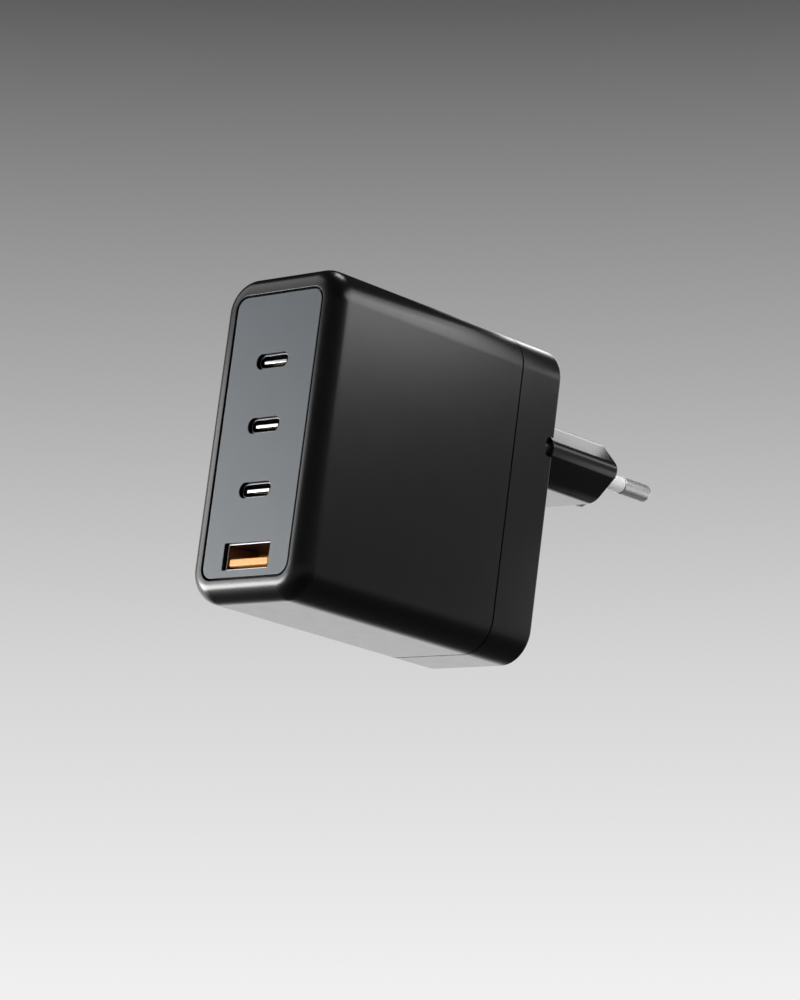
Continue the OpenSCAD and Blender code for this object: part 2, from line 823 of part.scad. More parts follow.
module choke_winding(s) {
    // Start of the turns, with the same gap left between the two windings on both sides
    from = 90 * (1 - s) + (180 - choke_span) / 2;
    half = choke_half + fit;
    outer = choke_half + choke_wire;
    color("#b9772c") on_choke_axis() rotate([0, 0, from]) rotate_extrude(angle = choke_span)
        difference() {
            box2(choke_r - choke_band - choke_wire, choke_r + choke_wire, -outer, outer);
            box2(choke_r - choke_band - fit, choke_r + fit, -half, half);
        }
}

module film_capacitor() {
    color("#c9b23a") {
        package(film_y, film_z, film_w, film_t, film_h);
        leads(film_leads);
    }
}

// Disc on two straight wires
module disc(r, t, y, z) {
    translate([board_face + disc_lift + r, y, z - t / 2]) cylinder(r = r, h = t);
    for (p = pair(y, z, lead_pitch))
        rod_x(lead_r, board_back - lead_out, p[0], p[1], board_t + lead_out + disc_lift + r, $fn = 24);
}

module safety_capacitor() {
    color("#2f6fb0") disc(safety_r, safety_t, chip_y, safety_z);
}

module varistor() {
    color("#2d7f63") disc(varistor_r, varistor_t, varistor_y, varistor_z);
}

module fuse() {
    color("#2c2c2e") {
        package(fuse_y, fuse_z, fuse_w, fuse_t, fuse_h);
        leads(fuse_leads);
    }
}

module bridge_rectifier() {
    color("#202022") package(chip_y, bridge_z, chip_w, bridge_h, bridge_t);
}

module switch_chip() {
    color("#202022") package(chip_y, switch_z, chip_w, switch_h, switch_t);
}

module rectifier_chip() {
    color("#202022") package(output_y, rectifier_z, rectifier_w, rectifier_h, rectifier_t);
}

module optocoupler() {
    color("#e8e8e4") package(opto_y, opto_z + opto_h / 2, opto_w, opto_h, opto_t);
}

module output_inductor(i) {
    color("#55585c") package(inductor_y, inductor_z[i], inductor_w, inductor_w, inductor_t);
}

module heat_spreader() {
    half = core_d / 2 + spreader_out;
    color("#b7bbc0") block(spreader_x, spreader_x + spreader_t, core_y - half, core_y + half,
        core_z - core_w / 2, core_z + core_w / 2 - spreader_short);
}

module thermal_pad() {
    half = core_d / 2 - pad_in;
    color("#8fb7c9") block(core_top, spreader_x, core_y - half, core_y + half,
        core_z - core_w / 2 + pad_in, core_z + core_w / 2 - spreader_short - pad_in);
}

module insulating_sheet() {
    color("#e9e4c8") difference() {
        block(board_face, board_face + sheet_h, sheet_y, sheet_y + sheet_thin,
            row_z0, core_z - core_w / 2 - clear);
        // Opening over the optocoupler, which bridges the two sides
        block(board_face - 1, board_face + opto_t + fit, sheet_y - 1, sheet_y + 1 + sheet_thin,
            opto_z - fit, opto_z + opto_h + fit);
    }
}

housing();
rear_cover();
face_panel();
plug_neck();
pin(pin_x[0]);  // line_pin
pin(pin_x[1]);  // neutral_pin
sleeve(pin_x[0]);  // line_sleeve
sleeve(pin_x[1]);  // neutral_sleeve
contact(pin_x[0], contact_rise);  // line_contact
contact(pin_x[1], -contact_rise);  // neutral_contact
for (i = [0 : 2]) {
    usb_c_shell(i);
    usb_c_tongue(i);
    bulk_capacitor(i);
    output_capacitor(i);
    output_inductor(i);
}
usb_a_shell();
usb_a_tongue();
for (i = [0 : 3])
    usb_a_contact(i);
port_board();
main_board();
board_header();
for (i = [0, 1])
    port_chip(i);
transformer_bobbin();
transformer_winding();
transformer_core_lower();
transformer_core_upper();
choke_base();
choke_core();
choke_winding(1);  // choke_winding_1
choke_winding(-1);  // choke_winding_2
film_capacitor();
safety_capacitor();
varistor();
fuse();
bridge_rectifier();
switch_chip();
rectifier_chip();
optocoupler();
heat_spreader();
thermal_pad();
insulating_sheet();
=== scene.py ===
# Wall charger with three USB-C ports, one USB-A port and a flat two-pin plug.
# Every length below is in millimetres and becomes metres when a mesh is made.
import json
import math

import bmesh
import bpy
from mathutils import Matrix, Quaternion, Vector


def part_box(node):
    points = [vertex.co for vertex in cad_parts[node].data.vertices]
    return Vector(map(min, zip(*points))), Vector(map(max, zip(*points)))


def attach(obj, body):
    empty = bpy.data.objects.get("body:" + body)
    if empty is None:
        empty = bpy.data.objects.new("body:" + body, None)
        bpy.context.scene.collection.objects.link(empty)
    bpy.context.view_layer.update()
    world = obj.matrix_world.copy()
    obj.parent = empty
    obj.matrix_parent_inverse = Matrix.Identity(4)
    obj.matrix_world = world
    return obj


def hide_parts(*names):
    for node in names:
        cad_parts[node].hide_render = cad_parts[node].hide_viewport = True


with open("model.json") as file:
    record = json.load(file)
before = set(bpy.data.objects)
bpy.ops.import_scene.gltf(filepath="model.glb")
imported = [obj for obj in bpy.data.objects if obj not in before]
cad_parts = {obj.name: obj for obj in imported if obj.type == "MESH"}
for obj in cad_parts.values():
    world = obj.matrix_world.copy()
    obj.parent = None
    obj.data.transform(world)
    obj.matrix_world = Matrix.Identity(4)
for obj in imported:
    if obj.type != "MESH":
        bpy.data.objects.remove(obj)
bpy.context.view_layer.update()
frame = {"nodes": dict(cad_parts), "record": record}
mm = 0.001
scene = bpy.context.scene
slotOf = {part["node"]: part["material_slot"] for part in frame["record"]["subparts"]}
print("frame loaded:", len(frame["nodes"]), "nodes")


# A node's lowest and highest corners, in millimetres
def extent(node):
    low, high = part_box(node)
    return low / mm, high / mm


# Linear colour from an sRGB hex code
def rgb(code):
    channels = [int(code[i:i + 2], 16) / 255 for i in (1, 3, 5)]
    linear = [c / 12.92 if c <= 0.04045 else ((c + 0.055) / 1.055) ** 2.4 for c in channels]
    return (*linear, 1)


# Materials

# Adds a node, with its settings by name and its sockets by name or number: a value or a link
def addNode(tree, kind, settings={}, sockets={}):
    node = tree.nodes.new("ShaderNode" + kind)
    for name, value in settings.items():
        setattr(node, name, value)
    for name, value in sockets.items():
        if isinstance(value, bpy.types.NodeSocket):
            tree.links.new(value, node.inputs[name])
        else:
            node.inputs[name].default_value = value
    return node


# Material of one shader, with the sockets that are the same all over the surface
def startMaterial(name, sockets):
    material = bpy.data.materials.new(name)
    material.use_nodes = True
    tree = material.node_tree
    shader = tree.nodes["Principled BSDF"]
    for socket, value in sockets.items():
        shader.inputs[socket].default_value = value
    place = addNode(tree, "TexCoord").outputs["Object"]
    return material, tree, shader, place


# Soft random pattern whose blotches are about size millimetres across
def blotches(tree, place, size, detail=2):
    noise = addNode(tree, "TexNoise", {}, {"Vector": place, "Scale": 1 / (size * mm), "Detail": detail})
    return noise.outputs["Fac"]


# Colour that wanders between two hex codes. paintedByDepth gives a third, reached between two depths along
# Y: painted shade and reflection behind a front face or a mouth
def mixColour(tree, shader, place, factor, first, second, paintedByDepth=None):
    mix = addNode(tree, "Mix", {"data_type": "RGBA"}, {0: factor, 6: rgb(first), 7: rgb(second)})
    if paintedByDepth:
        code, start, end = paintedByDepth
        depth = addNode(tree, "SeparateXYZ", {}, {0: place}).outputs["Y"]
        share = addNode(tree, "MapRange", {},
                        {"Value": depth, "From Min": start * mm, "From Max": end * mm})
        mix = addNode(tree, "Mix", {"data_type": "RGBA"},
                      {0: share.outputs["Result"], 6: mix.outputs[2], 7: rgb(code)})
    tree.links.new(mix.outputs[2], shader.inputs["Base Color"])


# Roughness that wanders between two values
def mixRoughness(tree, shader, factor, low, high):
    spread = addNode(tree, "MapRange", {}, {"Value": factor, "From Min": 0.3, "From Max": 0.7,
                                            "To Min": low, "To Max": high})
    tree.links.new(spread.outputs["Result"], shader.inputs["Roughness"])


# Relief of that depth in millimetres
def relief(tree, shader, height, depth):
    bump = addNode(tree, "Bump", {}, {"Height": height, "Distance": depth * mm, "Strength": 1})
    tree.links.new(bump.outputs["Normal"], shader.inputs["Normal"])


# Sizes of the slow patterns in millimetres, and the width of the fine lines that drawing leaves
patterns = {"plasticTint": 9, "plasticGloss": 4, "metalTint": 3, "metalGloss": 1.2, "drawnLine": 0.25}


# Moulded plastic: the mould's fine grain breaks up the gloss, and slow shrinkage waves vary it
def mouldedPlastic(name, first, second, roughness, grain, depth, sockets={}, paintedByDepth=None):
    material, tree, shader, place = startMaterial(name, {"IOR": 1.5, **sockets})
    mixColour(tree, shader, place, blotches(tree, place, patterns["plasticTint"]), first, second, paintedByDepth)
    mixRoughness(tree, shader, blotches(tree, place, patterns["plasticGloss"], 4), *roughness)
    relief(tree, shader, blotches(tree, place, grain, 1), depth)
    return material


# Metal: a worn or drawn surface whose gloss wanders. Lines says how much finer its relief is along
# each axis, so that it runs in lines along the axis where it is coarsest.
def drawnMetal(name, first, second, roughness, lines, depth, paintedByDepth=None):
    material, tree, shader, place = startMaterial(name, {"Metallic": 1.0})
    mixColour(tree, shader, place, blotches(tree, place, patterns["metalTint"]), first, second, paintedByDepth)
    mixRoughness(tree, shader, blotches(tree, place, patterns["metalGloss"], 4), *roughness)
    stretched = addNode(tree, "Mapping", {}, {"Vector": place, "Scale": lines}).outputs["Vector"]
    relief(tree, shader, blotches(tree, stretched, patterns["drawnLine"], 2), depth)
    return material


# Wire wound in turns round the X or Y axis: copper under clear enamel, so the turns show as ribs
def woundWire(name, first, second, pitch, axis):
    material, tree, shader, place = startMaterial(
        name, {"Metallic": 1.0, "Coat Weight": 0.6, "Coat Roughness": 0.15})
    mixColour(tree, shader, place, blotches(tree, place, 2), first, second)
    mixRoughness(tree, shader, blotches(tree, place, 1), 0.25, 0.4)
    turns = addNode(tree, "TexWave", {"bands_direction": axis, "wave_profile": "SIN"},
                    {"Vector": place, "Scale": math.pi / (10 * pitch * mm)})
    relief(tree, shader, turns.outputs["Fac"], 0.15)
    return material


faceFront = extent("face_panel")[0].y
mouthFront = extent("usb_a_shell")[0].y

# Grain finer than about 0.2 mm is drawn coarser than the real 0.05 mm, or the image would lose it
finish = {
    # Satin shell, moulded in a spark-eroded tool: a broad soft sheen with no sharp reflection
    "shell_black": mouldedPlastic("moulded_satin_shell", "#0e0e0f", "#111112",
                                  (0.25, 0.27), 0.25, 0.0006),
    # The plug is moulded in a smoother tool than the shell, so it reflects more sharply
    "neck_black": mouldedPlastic("moulded_smooth_neck", "#131314", "#151516",
                                 (0.21, 0.23), 0.3, 0.0002),
    # The face is grey with almost no sheen. From 0.05 mm behind its front it turns black: painted shade in
    # the cut-outs and in the gap round the face
    "panel_grey": mouldedPlastic("grey_face_painted_cut_shade", "#494f54", "#4d5358", (0.4, 0.45), 0.25, 0.002,
                                 paintedByDepth=("#08080a", faceFront + 0.05, faceFront + 0.12)),
    # Turned brass with a nickel plating: an even satin, with the lathe's rings almost too fine to see
    "pin_nickel": drawnMetal("turned_nickel_plate", "#d4d4d4", "#cbcbcc",
                             (0.46, 0.5), (1, 6, 1), 0.00003),
    # Glass-filled nylon sleeve: pale, even and dull
    "sleeve_white": mouldedPlastic("moulded_nylon_sleeve", "#d6d6d5", "#d0d0cf",
                                   (0.45, 0.5), 0.25, 0.0006),
    "spring_brass": drawnMetal("rolled_spring_brass", "#caa763", "#b8924e",
                               (0.25, 0.35), (1, 1, 8), 0.0008),
    # Deep-drawn stainless sheet. From 0.2 mm behind its mouth it turns a warm brownish grey: a painted
    # reflection on the port's inner walls
    "port_steel": drawnMetal("drawn_steel_painted_inner_reflection", "#7b7b7e", "#737376", (0.26, 0.34), (4, 0.4, 4), 0.0004,
                             paintedByDepth=("#8a8280", mouthFront + 0.2, mouthFront + 1.4)),
    # The wide shell is pale steel at its very lip. From 0.02 mm behind the lip it turns dark reddish brown:
    # painted shade and a painted reflection of the orange tongue inside the port
    "steel_painted_inner_shade": drawnMetal("steel_sheet_painted_inner_shade", "#b4b4b6", "#aaaaac", (0.3, 0.38), (4, 0.4, 4), 0.0004,
                             paintedByDepth=("#8e7a76", mouthFront + 0.02, mouthFront + 0.1)),
    # Stamped plate, polished by plugs: it flashes white
    "plate_steel": drawnMetal("stamped_steel_plate", "#c9c9ca", "#bcbcbe",
                              (0.16, 0.22), (4, 0.4, 4), 0.0004),
    # Liquid-crystal polymer inserts: dense, hard and slightly glossy
    "tongue_black": mouldedPlastic("moulded_black_insert", "#0d0d0f", "#131315", (0.3, 0.4), 0.2, 0.002),
    "tongue_orange": mouldedPlastic("moulded_orange_insert", "#f2ab5e", "#eda250",
                                    (0.26, 0.34), 0.25, 0.0008,
                                    {"Subsurface Weight": 0.1, "Subsurface Scale": 0.0005}),
    "contact_gold": drawnMetal("gold_plated_bronze", "#c9bda0", "#bcae8e",
                               (0.2, 0.28), (1, 0.5, 1), 0.0005),
    "board_green": mouldedPlastic("lacquered_glass_laminate", "#12482c", "#185436",
                                  (0.25, 0.4), 0.8, 0.01),
    "part_black": mouldedPlastic("moulded_epoxy_package", "#161617", "#1e1e20", (0.5, 0.62), 0.2, 0.004),
    "part_white": mouldedPlastic("moulded_white_package", "#e4e4df", "#dadad4", (0.4, 0.5), 0.2, 0.003),
    "winding_copper": woundWire("enamelled_wire_turns", "#c47a38", "#a9622a", 0.6, "X"),
    "ferrite": mouldedPlastic("pressed_ferrite", "#2b2c2f", "#38393c", (0.45, 0.6), 0.3, 0.006),
    "film_yellow": mouldedPlastic("potted_film_case", "#cdb53a", "#c2a92f", (0.3, 0.4), 0.4, 0.004),
    "disc_blue": mouldedPlastic("dipped_blue_ceramic", "#2a6cb0", "#23609f", (0.3, 0.42), 0.9, 0.02),
    "disc_green": mouldedPlastic("dipped_green_ceramic", "#2a7b60", "#226e54", (0.3, 0.42), 0.9, 0.02),
    "can_blue": mouldedPlastic("shrunk_film_sleeve", "#1c2a55", "#233263", (0.22, 0.34), 1.5, 0.01),
    "can_plain": drawnMetal("drawn_aluminium_can", "#c8ccd0", "#bcc0c6",
                            (0.28, 0.4), (0.4, 4, 4), 0.001),
    "spreader_aluminium": drawnMetal("rolled_aluminium_sheet", "#c3c7cb", "#b7bbc0",
                                     (0.3, 0.42), (4, 4, 0.4), 0.001),
    "pad_rubber": mouldedPlastic("filled_silicone_pad", "#8fb5c6", "#86abbc", (0.7, 0.8), 0.5, 0.01),
    "sheet_paper": mouldedPlastic("pressed_insulating_board", "#e8e2c6", "#dcd4b4",
                                  (0.7, 0.85), 0.5, 0.008),
}
print("materials made:", len(finish))


# Making meshes

mergeWithin = 0.0005      # points closer than this become one
crispFrom = 35            # edges that turn by more degrees than this stay crisp
softenFrom = 50           # edges that turn by more degrees than this are rounded after a cut


# Points of a path with its corners rounded. Each is (a, b) or (a, b, radius).
def rounded(points, closed=False, steps=4):
    path = []
    for i, point in enumerate(points):
        here = Vector(point[:2])
        radius = point[2] if len(point) > 2 else 0
        if not radius:
            path.append(tuple(here))
            continue
        before = (Vector(points[i - 1][:2]) - here).normalized()
        after = (Vector(points[(i + 1) % len(points)][:2]) - here).normalized()
        half = before.angle(after) / 2
        centre = here + (before + after).normalized() * radius / math.sin(half)
        first = here + before * radius / math.tan(half) - centre
        last = here + after * radius / math.tan(half) - centre
        start = math.atan2(first.y, first.x)
        turn = (math.atan2(last.y, last.x) - start + math.pi) % (2 * math.pi) - math.pi
        angles = [start + turn * k / steps for k in range(steps + 1)]
        path += [(centre.x + radius * math.cos(a), centre.y + radius * math.sin(a)) for a in angles]
    return path


# Outline with four round corners whose axes lie at (±cx, ±cz) from (x, z). The outline at u is
# everything u away from the rectangle of those axes.
def roundRect(cx, cz, x=0, z=0, steps=12):
    def outline(u):
        points = []
        for quarter, (sx, sz) in enumerate(((1, 1), (-1, 1), (-1, -1), (1, -1))):
            for i in range(steps + 1):
                angle = math.radians(90 * (quarter + i / steps))
                points.append((x + sx * cx + u * math.cos(angle), z + sz * cz + u * math.sin(angle)))
        return points
    return outline


# Carries a profile of (u, y) points round an outline. A closed profile makes a ring, and an open
# one is capped at both ends.
def carry(bm, outline, profile, closed=False):
    rings = [[bm.verts.new(Vector((x, y, z)) * mm) for x, z in outline(u)] for u, y in profile]
    following = rings[1:] + rings[:1] if closed else rings[1:]
    for ring, other in zip(rings, following):
        for i, corner in enumerate(ring):
            j = (i + 1) % len(ring)
            bm.faces.new((corner, ring[j], other[j], other[i]))
    if not closed:
        bm.faces.new(rings[0])
        bm.faces.new(rings[-1])


# Prism from y0 to y1 whose outline is the one at u, with both ends' edges rounded
def prism(bm, outline, u, y0, y1, edge):
    profile = [(u - edge, y0), (u, y0, edge), (u, y1, edge), (u - edge, y1)]
    carry(bm, outline, rounded(profile, steps=3)[1:-1])


# Block between two corners, with its edges rounded. The ones at its ends are a little tighter, or
# the middle of each end would shrink to nothing.
def block(bm, x0, x1, y0, y1, z0, z1, edge):
    outline = roundRect((x1 - x0) / 2 - edge, (z1 - z0) / 2 - edge, (x0 + x1) / 2, (z0 + z1) / 2, 3)
    prism(bm, outline, edge, y0, y1, edge * 0.98)


# Cutter for a hole through y0 to y1 that flares at both faces, so that the hole's edges are rounded.
# Like every cutter here it goes on for 1 mm past what it cuts.
def holeCutter(outline, u, y0, y1, edge):
    bm = bmesh.new()
    flare = u + edge
    profile = rounded([(flare, y0), (u, y0, edge), (u, y1, edge), (flare, y1)], steps=3)[1:-1]
    carry(bm, outline, [(flare, y0 - 1), *profile, (flare, y1 + 1)])
    return toObject(bm, "hole")


# Object from a bmesh, with clean outward faces
def toObject(bm, name):
    bmesh.ops.remove_doubles(bm, verts=bm.verts, dist=mergeWithin * mm)
    bmesh.ops.recalc_face_normals(bm, faces=bm.faces)
    mesh = bpy.data.meshes.new(name)
    bm.to_mesh(mesh)
    bm.free()
    piece = bpy.data.objects.new(name, mesh)
    scene.collection.objects.link(piece)
    return piece


# Puts what the modifiers make into the mesh itself
def settle(piece):
    evaluated = piece.evaluated_get(bpy.context.evaluated_depsgraph_get())
    mesh = bpy.data.meshes.new_from_object(evaluated)
    piece.modifiers.clear()
    piece.data = mesh


# Cuts pieces out of a piece, and rounds the edges that the cut leaves
def cutAway(piece, cutters, edge=0):
    for cutter in cutters:
        modifier = piece.modifiers.new("cut", "BOOLEAN")
        modifier.operation = "DIFFERENCE"
        modifier.solver = "EXACT"
        modifier.use_self = True
        modifier.object = cutter
    if edge:
        softening = piece.modifiers.new("edge", "BEVEL")
        softening.width = edge * mm
        softening.segments = 2
        softening.limit_method = "ANGLE"
        softening.angle_limit = math.radians(softenFrom)
    settle(piece)
    for cutter in cutters:
        bpy.data.objects.remove(cutter)


# Smooth shading that stays crisp at sharp edges and flat on flat faces, then material and place
def finishPiece(piece, slot, *nodes, look=None):
    bm = bmesh.new()
    bm.from_mesh(piece.data)
    for face in bm.faces:
        face.smooth = True
    for edge in bm.edges:
        edge.smooth = len(edge.link_faces) == 2 and edge.calc_face_angle() < math.radians(crispFrom)
    bm.to_mesh(piece.data)
    bm.free()
    normals = piece.modifiers.new("normals", "WEIGHTED_NORMAL")
    normals.keep_sharp = True
    piece.data.materials.clear()
    piece.data.materials.append(finish[look or slot])
    if nodes:
        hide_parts(*nodes)
    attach(piece, "root")
    return piece


# Body

body = {
    "cornerRadius": 7.5,   # long corners
    "frontRadius": 4.1,    # sides rolling over into the front
    "backRadius": 0.6,     # rear cover's back edge
    "wall": 2,
    "rim": 4.4,            # border left round the face
    "rimEdge": 0.16,       # rounding of the border's inner edge, which catches the light
    "seamEdge": 0.05,      # rounding of both edges at the seam
    "seamLine": 0.28,      # width of the dark line at the seam
    "ledge": 1.5,
    "ledgeDepth": 1.7,     # from the front to the ledge
    "ledgeThick": 1.3,
    "ledgeFoot": 1,        # width of the slope from the ledge's back to the wall
    "lap": 2,
    "lapShare": 0.45,      # share of the wall that the tongue of the lap takes
    "lapGap": 0.1,
    "backThick": 4.6,
}
bodyLow, bodyHigh = extent("housing")
coverLow, coverHigh = extent("rear_cover")
faceLow = extent("face_panel")[0]
middleZ = (bodyLow.z + bodyHigh.z) / 2
halfW = bodyHigh.x
halfH = (bodyHigh.z - bodyLow.z) / 2
frontY = bodyLow.y
backY = coverHigh.y
corner = body["cornerRadius"]
bodyOutline = roundRect(halfW - corner, halfH - corner, 0, middleZ, 24)


def makeHousing():
    inner = corner - body["wall"]
    opening = corner - body["rim"]
    ledge = opening - body["ledge"]
    ledgeFront = frontY + body["ledgeDepth"]
    ledgeBack = ledgeFront + body["ledgeThick"]
    tongueEnd = bodyHigh.y
    seam = tongueEnd - body["lap"] - body["seamLine"]
    tongue = inner + body["wall"] * body["lapShare"]
    profile = [
        (corner, seam, body["seamEdge"]), (corner, frontY, body["frontRadius"]),
        (opening, frontY, body["rimEdge"]), (opening, ledgeFront), (ledge, ledgeFront),
        (ledge, ledgeBack), (inner - body["ledgeFoot"], ledgeBack), (inner, frontY + body["frontRadius"]),
        (inner, tongueEnd), (tongue, tongueEnd), (tongue, seam)]
    bm = bmesh.new()
    carry(bm, bodyOutline, rounded(profile, True, 10), True)
    finishPiece(toObject(bm, "housing_shell"), "shell_black", "housing")


makeHousing()
print("housing made")

neck = {
    "thick": 13.8,
    "facetAngle": 45,
    "sideRadius": 2.8,     # side corners
    "shoulderRadius": 4.5,
    "endRadius": 0.55,     # rounding of the neck's end
    "startRadius": 0.12,
    "pocketDepth": 2.6,    # recess in the cover that the neck stands in
    "pocketGap": 0.6,
    "pocketRadius": 1.1,   # round edge of its floor, which makes the notch in the side an oval
    "pocketEdge": 0.1,     # rounding of the edges that it leaves
    "baseInset": 1,
    "tailW": 26,
    "tailH": 8.4,
    "tailRadius": 1.4,
    "tailEdge": 0.2,
    "tailGap": 0.1,        # between the tail and the hole in the cover
    "sleeveIn": 3,
    "boreGap": 0.03,       # between a sleeve and its bore
    "boreFlare": 0.25,     # the same at the bore's mouth
    "boreMouth": 0.2,      # depth of that mouth
}
neckLow, neckHigh = extent("plug_neck")
plugZ = (extent("line_pin")[0].z + extent("line_pin")[1].z) / 2
neckW = neckHigh.x - neckLow.x
tailRadius = neck["tailRadius"]
tailOutline = roundRect(neck["tailW"] / 2 - tailRadius, neck["tailH"] / 2 - tailRadius, 0, plugZ)


# The neck's flat hexagon with round corners, grown by g all round
def neckOutline(g):
    slope = math.radians(neck["facetAngle"])
    tip = neckW / 2 + neck["sideRadius"] * (1 / math.sin(slope) - 1)
    top = neck["thick"] / 2 + g
    shoulder = (math.sin(slope) * tip + g - math.cos(slope) * top) / math.sin(slope)
    side = tip + g / math.sin(slope)
    atSide, atShoulder = neck["sideRadius"] + g, neck["shoulderRadius"] + g
    corners = [(side, 0, atSide), (shoulder, top, atShoulder), (-shoulder, top, atShoulder),
               (-side, 0, atSide), (-shoulder, -top, atShoulder), (shoulder, -top, atShoulder)]
    return [(x, plugZ + z) for x, z in rounded(corners, True, 12)]


def makeCover():
    inner = corner - body["wall"]
    start = coverLow.y
    lapEnd = start + body["lap"]
    floorY = backY - body["backThick"]
    step = inner + body["wall"] * body["lapShare"] + body["lapGap"]
    radius = body["backRadius"]
    profile = [
        (inner, floorY), (inner, lapEnd), (step, lapEnd), (step, start),
        (corner, start, body["seamEdge"]), (corner, backY, radius), (corner - radius, backY)]
    bm = bmesh.new()
    carry(bm, bodyOutline, rounded(profile, False, 6)[:-1])
    cover = toObject(bm, "rear_cover_shell")
    pocket = bmesh.new()
    pocketFloor = backY - neck["pocketDepth"]
    gap, floorRadius = neck["pocketGap"], neck["pocketRadius"]
    pocketProfile = [(gap - floorRadius - 0.1, pocketFloor), (gap, pocketFloor, floorRadius),
                     (gap, backY + 1)]
    carry(pocket, neckOutline, rounded(pocketProfile, False, 6))
    tail = bmesh.new()
    hole = tailRadius + neck["tailGap"]
    carry(tail, tailOutline, [(hole, floorY - 1), (hole, backY)])
    cutAway(cover, [toObject(pocket, "pocket"), toObject(tail, "tail")], neck["pocketEdge"])
    finishPiece(cover, "shell_black", "rear_cover")


makeCover()
print("rear cover made")

# Plug

pins = {
    "radius": 2,
    "sleeveEdge": 0.18,    # both sides of the dark ring between sleeve and metal
    "shoulderEdge": 0.15,
    "tipRadius": 1.3,
    "rootRadius": 1.5,     # the thinner part inside the sleeve
    "rootEdge": 0.3,
    "backEdge": 0.1,       # back edge of the sleeve
    "sleeveGap": 0.02,     # between the pin and its sleeve
}
pinLow, pinHigh = extent("line_pin")
sleeveLow, sleeveHigh = extent("line_sleeve")
sleeveR = (sleeveHigh.x - sleeveLow.x) / 2
pinX = (sleeveLow.x + sleeveHigh.x) / 2


def makeNeck():
    start = backY - neck["pocketDepth"]
    end = neckHigh.y
    radius = neck["endRadius"]
    inset = -neck["baseInset"]
    profile = [(inset, start), (inset, backY), (0, backY, neck["startRadius"]),
               (0, end, radius), (-radius, end)]
    bm = bmesh.new()
    carry(bm, neckOutline, rounded(profile, False, 6)[:-1])
    prism(bm, tailOutline, tailRadius, neckLow.y, start + 0.01, neck["tailEdge"])
    piece = toObject(bm, "plug_neck_body")
    bores = []
    bore, mouth = sleeveR + neck["boreGap"], sleeveR + neck["boreFlare"]
    reach = [(bore, end - neck["sleeveIn"]), (bore, end - neck["boreMouth"]), (mouth, end + 0.02),
             (mouth, end + 1)]
    for x in (pinX, -pinX):
        cutter = bmesh.new()
        carry(cutter, roundRect(0, 0, x, plugZ, 16), reach)
        bores.append(toObject(cutter, "bore"))
    cutAway(piece, bores)
    finishPiece(piece, "neck_black", "plug_neck")


def makePin(name, x):
    tip = pins["tipRadius"]
    radius, root, rootEdge = pins["radius"], pins["rootRadius"], pins["rootEdge"]
    axis = roundRect(0, 0, x, plugZ, 16)
    bm = bmesh.new()
    profile = [(root - rootEdge, pinLow.y), (root, pinLow.y, rootEdge),
               (root, sleeveHigh.y), (radius, sleeveHigh.y, pins["shoulderEdge"]),
               (radius, pinHigh.y, tip), (radius - tip, pinHigh.y)]
    carry(bm, axis, rounded(profile, False, 8)[1:-1])
    finishPiece(toObject(bm, name + "_pin_metal"), "pin_nickel", name + "_pin")
    bm = bmesh.new()
    inner = root + pins["sleeveGap"]
    profile = [(inner, sleeveLow.y), (sleeveR, sleeveLow.y, pins["backEdge"]),
               (sleeveR, sleeveHigh.y, pins["sleeveEdge"]), (inner, sleeveHigh.y)]
    carry(bm, axis, rounded(profile, True, 4), True)
    finishPiece(toObject(bm, name + "_pin_sleeve"), "sleeve_white", name + "_sleeve")


makeNeck()
makePin("line", pinX)
makePin("neutral", -pinX)
print("plug made")

# Ports

ports = {
    "sheet": 0.3,
    "lip": 0.06,           # rolled edge of the shells' mouths
    "usbCCut": (9.45, 3.4),
    "usbACut": (13.8, 5.8),
    "usbACutRadius": 0.35,
    "usbARadius": 0.5,
    "panelGap": 0.45,
    "panelThick": 1.6,
    "panelEdge": 0.08,     # rounding of the face's edges and cut-outs
    "insertGap": 0.02,     # between a shell and its insert
    "insertEdge": 0.1,     # rounding of the inserts' bases
}


# Outline and radius of a stadium of that size
def stadium(width, height, z):
    return roundRect((width - height) / 2, 0, 0, z, 12), height / 2


def centreZ(node):
    low, high = extent(node)
    return (low.z + high.z) / 2


usbCHeights = [centreZ("usb_c_shell_%d" % (i + 1)) for i in range(3)]
usbAHeight = centreZ("usb_a_shell")


def makeFacePanel():
    radius = corner - body["rim"] - ports["panelGap"]
    halfWidth = halfW - body["rim"] - ports["panelGap"]
    halfHeight = halfH - body["rim"] - ports["panelGap"]
    y0, y1, edge = faceLow.y, faceLow.y + ports["panelThick"], ports["panelEdge"]
    bm = bmesh.new()
    prism(bm, roundRect(halfWidth - radius, halfHeight - radius, 0, middleZ, 16), radius, y0, y1, edge)
    cutters = [holeCutter(*stadium(*ports["usbCCut"], z), y0, y1, edge) for z in usbCHeights]
    cutRadius = ports["usbACutRadius"]
    cutW, cutH = ports["usbACut"]
    cutOutline = roundRect(cutW / 2 - cutRadius, cutH / 2 - cutRadius, 0, usbAHeight, 5)
    cutters.append(holeCutter(cutOutline, cutRadius, y0, y1, edge))
    panel = toObject(bm, "face_plate")
    cutAway(panel, cutters)
    finishPiece(panel, "panel_grey", "face_panel")


# Shell of drawn sheet: the outline at u outside, one sheet thinner inside, with a rolled mouth
def makePortShell(name, outline, u, node, look=None):
    low, high = extent(node)
    sheet, lip = ports["sheet"], ports["lip"]
    bm = bmesh.new()
    profile = [(u, low.y, lip), (u, high.y), (u - sheet, high.y), (u - sheet, low.y, lip)]
    carry(bm, outline, rounded(profile, True, 4), True)
    finishPiece(toObject(bm, name), "port_steel", node, look=look)


